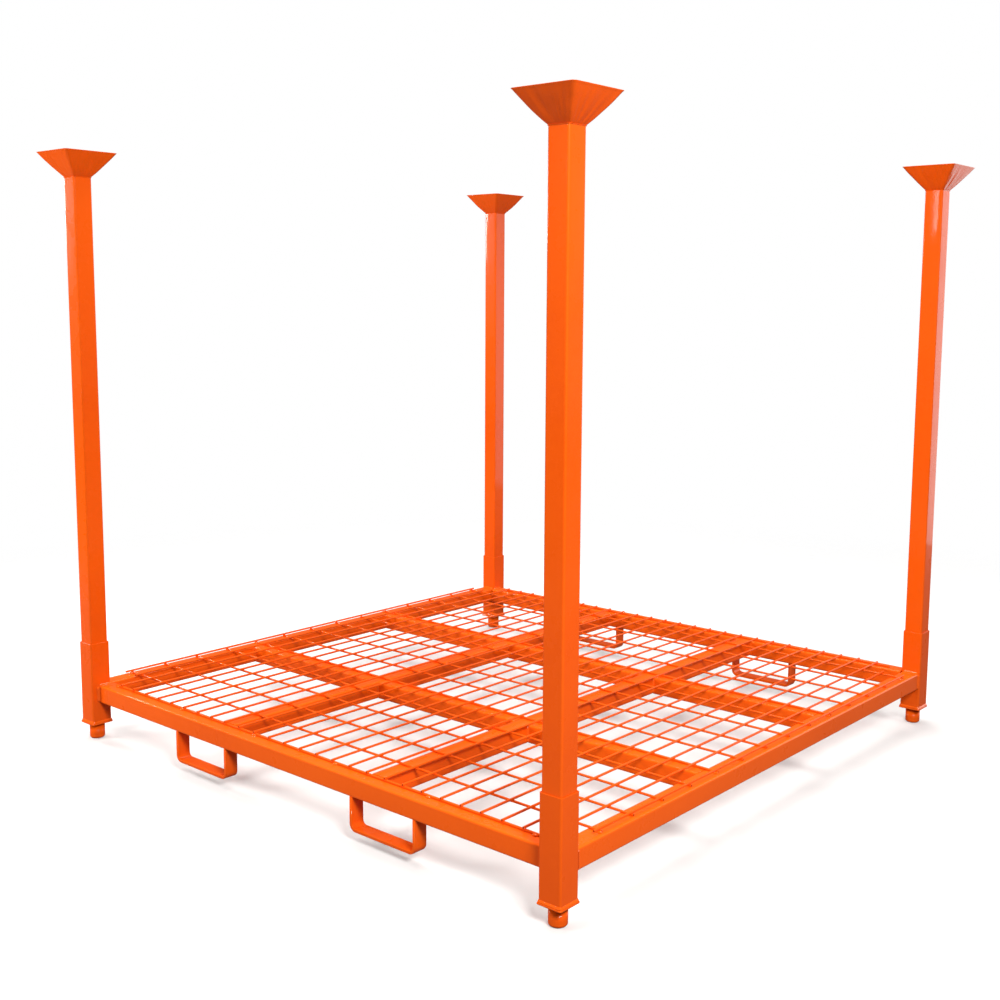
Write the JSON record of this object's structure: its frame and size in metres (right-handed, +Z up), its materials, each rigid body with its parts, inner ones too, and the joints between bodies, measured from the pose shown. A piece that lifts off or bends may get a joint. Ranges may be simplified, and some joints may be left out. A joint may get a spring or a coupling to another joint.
{
  "type": "tyre storage rack",
  "caption": "Orange stackable post rack for tyres: welded square-tube base on foot pins, wire mesh deck, fork stirrups, and lift-out corner posts with flared stacking cups.",
  "frame": {"origin": "on the floor at the middle of the rack, level with the flat ends of the foot pins", "axes": "+Z up, -Y towards the front, where the fork stirrups in view are, +X to the right seen from the front"},
  "size_m": [1.9, 1.9, 1.6765],
  "materials": {
    "paint": "gloss",
    "post_paint": "gloss",
    "wire_paint": "gloss",
    "weld": "gloss"
  },
  "bodies": {
    "base": {"foot_pin_front_left": "paint", "foot_pin_front_right": "paint", "foot_pin_back_left": "paint", "foot_pin_back_right": "paint", "base_plate_front_left": "paint", "base_plate_front_right": "paint", "base_plate_back_left": "paint", "base_plate_back_right": "paint", "socket_front_left": "paint", "socket_front_right": "paint", "socket_back_left": "paint", "socket_back_right": "paint", "base_weld_front_left": "weld", "base_weld_front_right": "weld", "base_weld_back_left": "weld", "base_weld_back_right": "weld", "beam_front": "paint", "beam_back": "paint", "side_beam_left": "paint", "side_beam_right": "paint", "joist_left": "paint", "joist_right": "paint", "crosstie_front_left": "paint", "crosstie_front_middle": "paint", "crosstie_front_right": "paint", "crosstie_back_left": "paint", "crosstie_back_middle": "paint", "crosstie_back_right": "paint", "stirrup_front_left": "paint", "stirrup_front_right": "paint", "stirrup_back_left": "paint", "stirrup_back_right": "paint", "mesh_line_wires": "wire_paint", "mesh_cross_wires": "wire_paint", "mesh_edge_front": "wire_paint", "mesh_edge_back": "wire_paint", "mesh_edge_left": "wire_paint", "mesh_edge_right": "wire_paint", "mesh_tack_welds": "weld", "beam_welds": "weld", "joist_welds": "weld", "stirrup_welds": "weld"},
    "lift_post_front_left": {"post_front_left": "post_paint", "cup_weld_front_left": "weld", "stacking_cup_front_left": "post_paint"},
    "lift_post_front_right": {"post_front_right": "post_paint", "cup_weld_front_right": "weld", "stacking_cup_front_right": "post_paint"},
    "lift_post_back_left": {"post_back_left": "post_paint", "cup_weld_back_left": "weld", "stacking_cup_back_left": "post_paint"},
    "lift_post_back_right": {"post_back_right": "post_paint", "cup_weld_back_right": "weld", "stacking_cup_back_right": "post_paint"}
  },
  "joints": [
    {"name": "lift_front_left", "type": "slide", "parent": "base", "child": "lift_post_front_left", "axis": [0, 0, 1], "range_m": [0, 0.3]},
    {"name": "lift_front_right", "type": "slide", "parent": "base", "child": "lift_post_front_right", "axis": [0, 0, 1], "range_m": [0, 0.3]},
    {"name": "lift_back_left", "type": "slide", "parent": "base", "child": "lift_post_back_left", "axis": [0, 0, 1], "range_m": [0, 0.3]},
    {"name": "lift_back_right", "type": "slide", "parent": "base", "child": "lift_post_back_right", "axis": [0, 0, 1], "range_m": [0, 0.3]}
  ]
}
